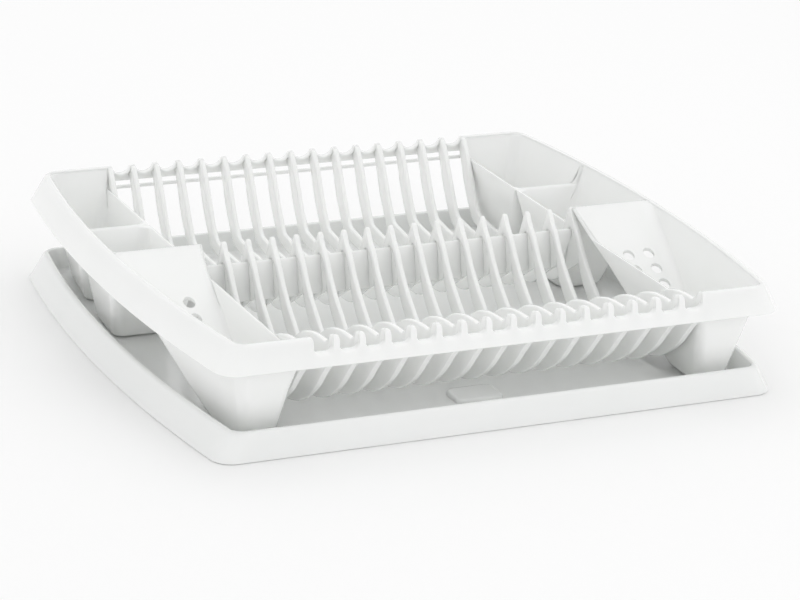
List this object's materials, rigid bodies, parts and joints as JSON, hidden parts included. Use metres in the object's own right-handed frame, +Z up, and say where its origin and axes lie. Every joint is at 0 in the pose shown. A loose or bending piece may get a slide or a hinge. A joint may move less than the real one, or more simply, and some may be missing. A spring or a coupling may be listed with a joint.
{
  "type": "dish drying rack",
  "caption": "Moulded dish drying rack with ribbed plate cradles, tapered side bins and a scalloped front rail, standing in a matching drip tray it lifts out of.",
  "frame": {"origin": "middle of the resting plane, the lower edge of the tray's skirt", "axes": "+X along the long side, +Y from the front to the back, +Z up"},
  "size_m": [0.487, 0.416, 0.087],
  "materials": {
    "rack_plastic": "gloss",
    "tray_plastic": "gloss"
  },
  "bodies": {
    "drip_tray": {"tray_floor": "tray_plastic", "tray_rim_left": "tray_plastic", "tray_rim_right": "tray_plastic", "tray_rim_front": "tray_plastic", "tray_rim_back": "tray_plastic", "tray_pad": "tray_plastic"},
    "rack": {"rack_rim_left": "rack_plastic", "rack_rim_right": "rack_plastic", "front_rail": "rack_plastic", "back_rail": "rack_plastic", "back_bar": "rack_plastic", "back_bin_left": "rack_plastic", "back_bin_right": "rack_plastic", "middle_bin_left": "rack_plastic", "middle_bin_right": "rack_plastic", "cutlery_bin_left": "rack_plastic", "cutlery_bin_right": "rack_plastic", "plate_rib_01": "rack_plastic", "plate_rib_02": "rack_plastic", "plate_rib_03": "rack_plastic", "plate_rib_04": "rack_plastic", "plate_rib_05": "rack_plastic", "plate_rib_06": "rack_plastic", "plate_rib_07": "rack_plastic", "plate_rib_08": "rack_plastic", "plate_rib_09": "rack_plastic", "plate_rib_10": "rack_plastic", "plate_rib_11": "rack_plastic", "plate_rib_12": "rack_plastic", "plate_rib_13": "rack_plastic", "plate_rib_14": "rack_plastic", "plate_rib_15": "rack_plastic", "plate_rib_16": "rack_plastic", "plate_rib_17": "rack_plastic", "middle_web": "rack_plastic", "front_tie_bar": "rack_plastic"}
  },
  "joints": [
    {"name": "rack_lift", "type": "slide", "parent": "drip_tray", "child": "rack", "axis": [0, 0, 1], "range_m": [0, 0.1]}
  ]
}
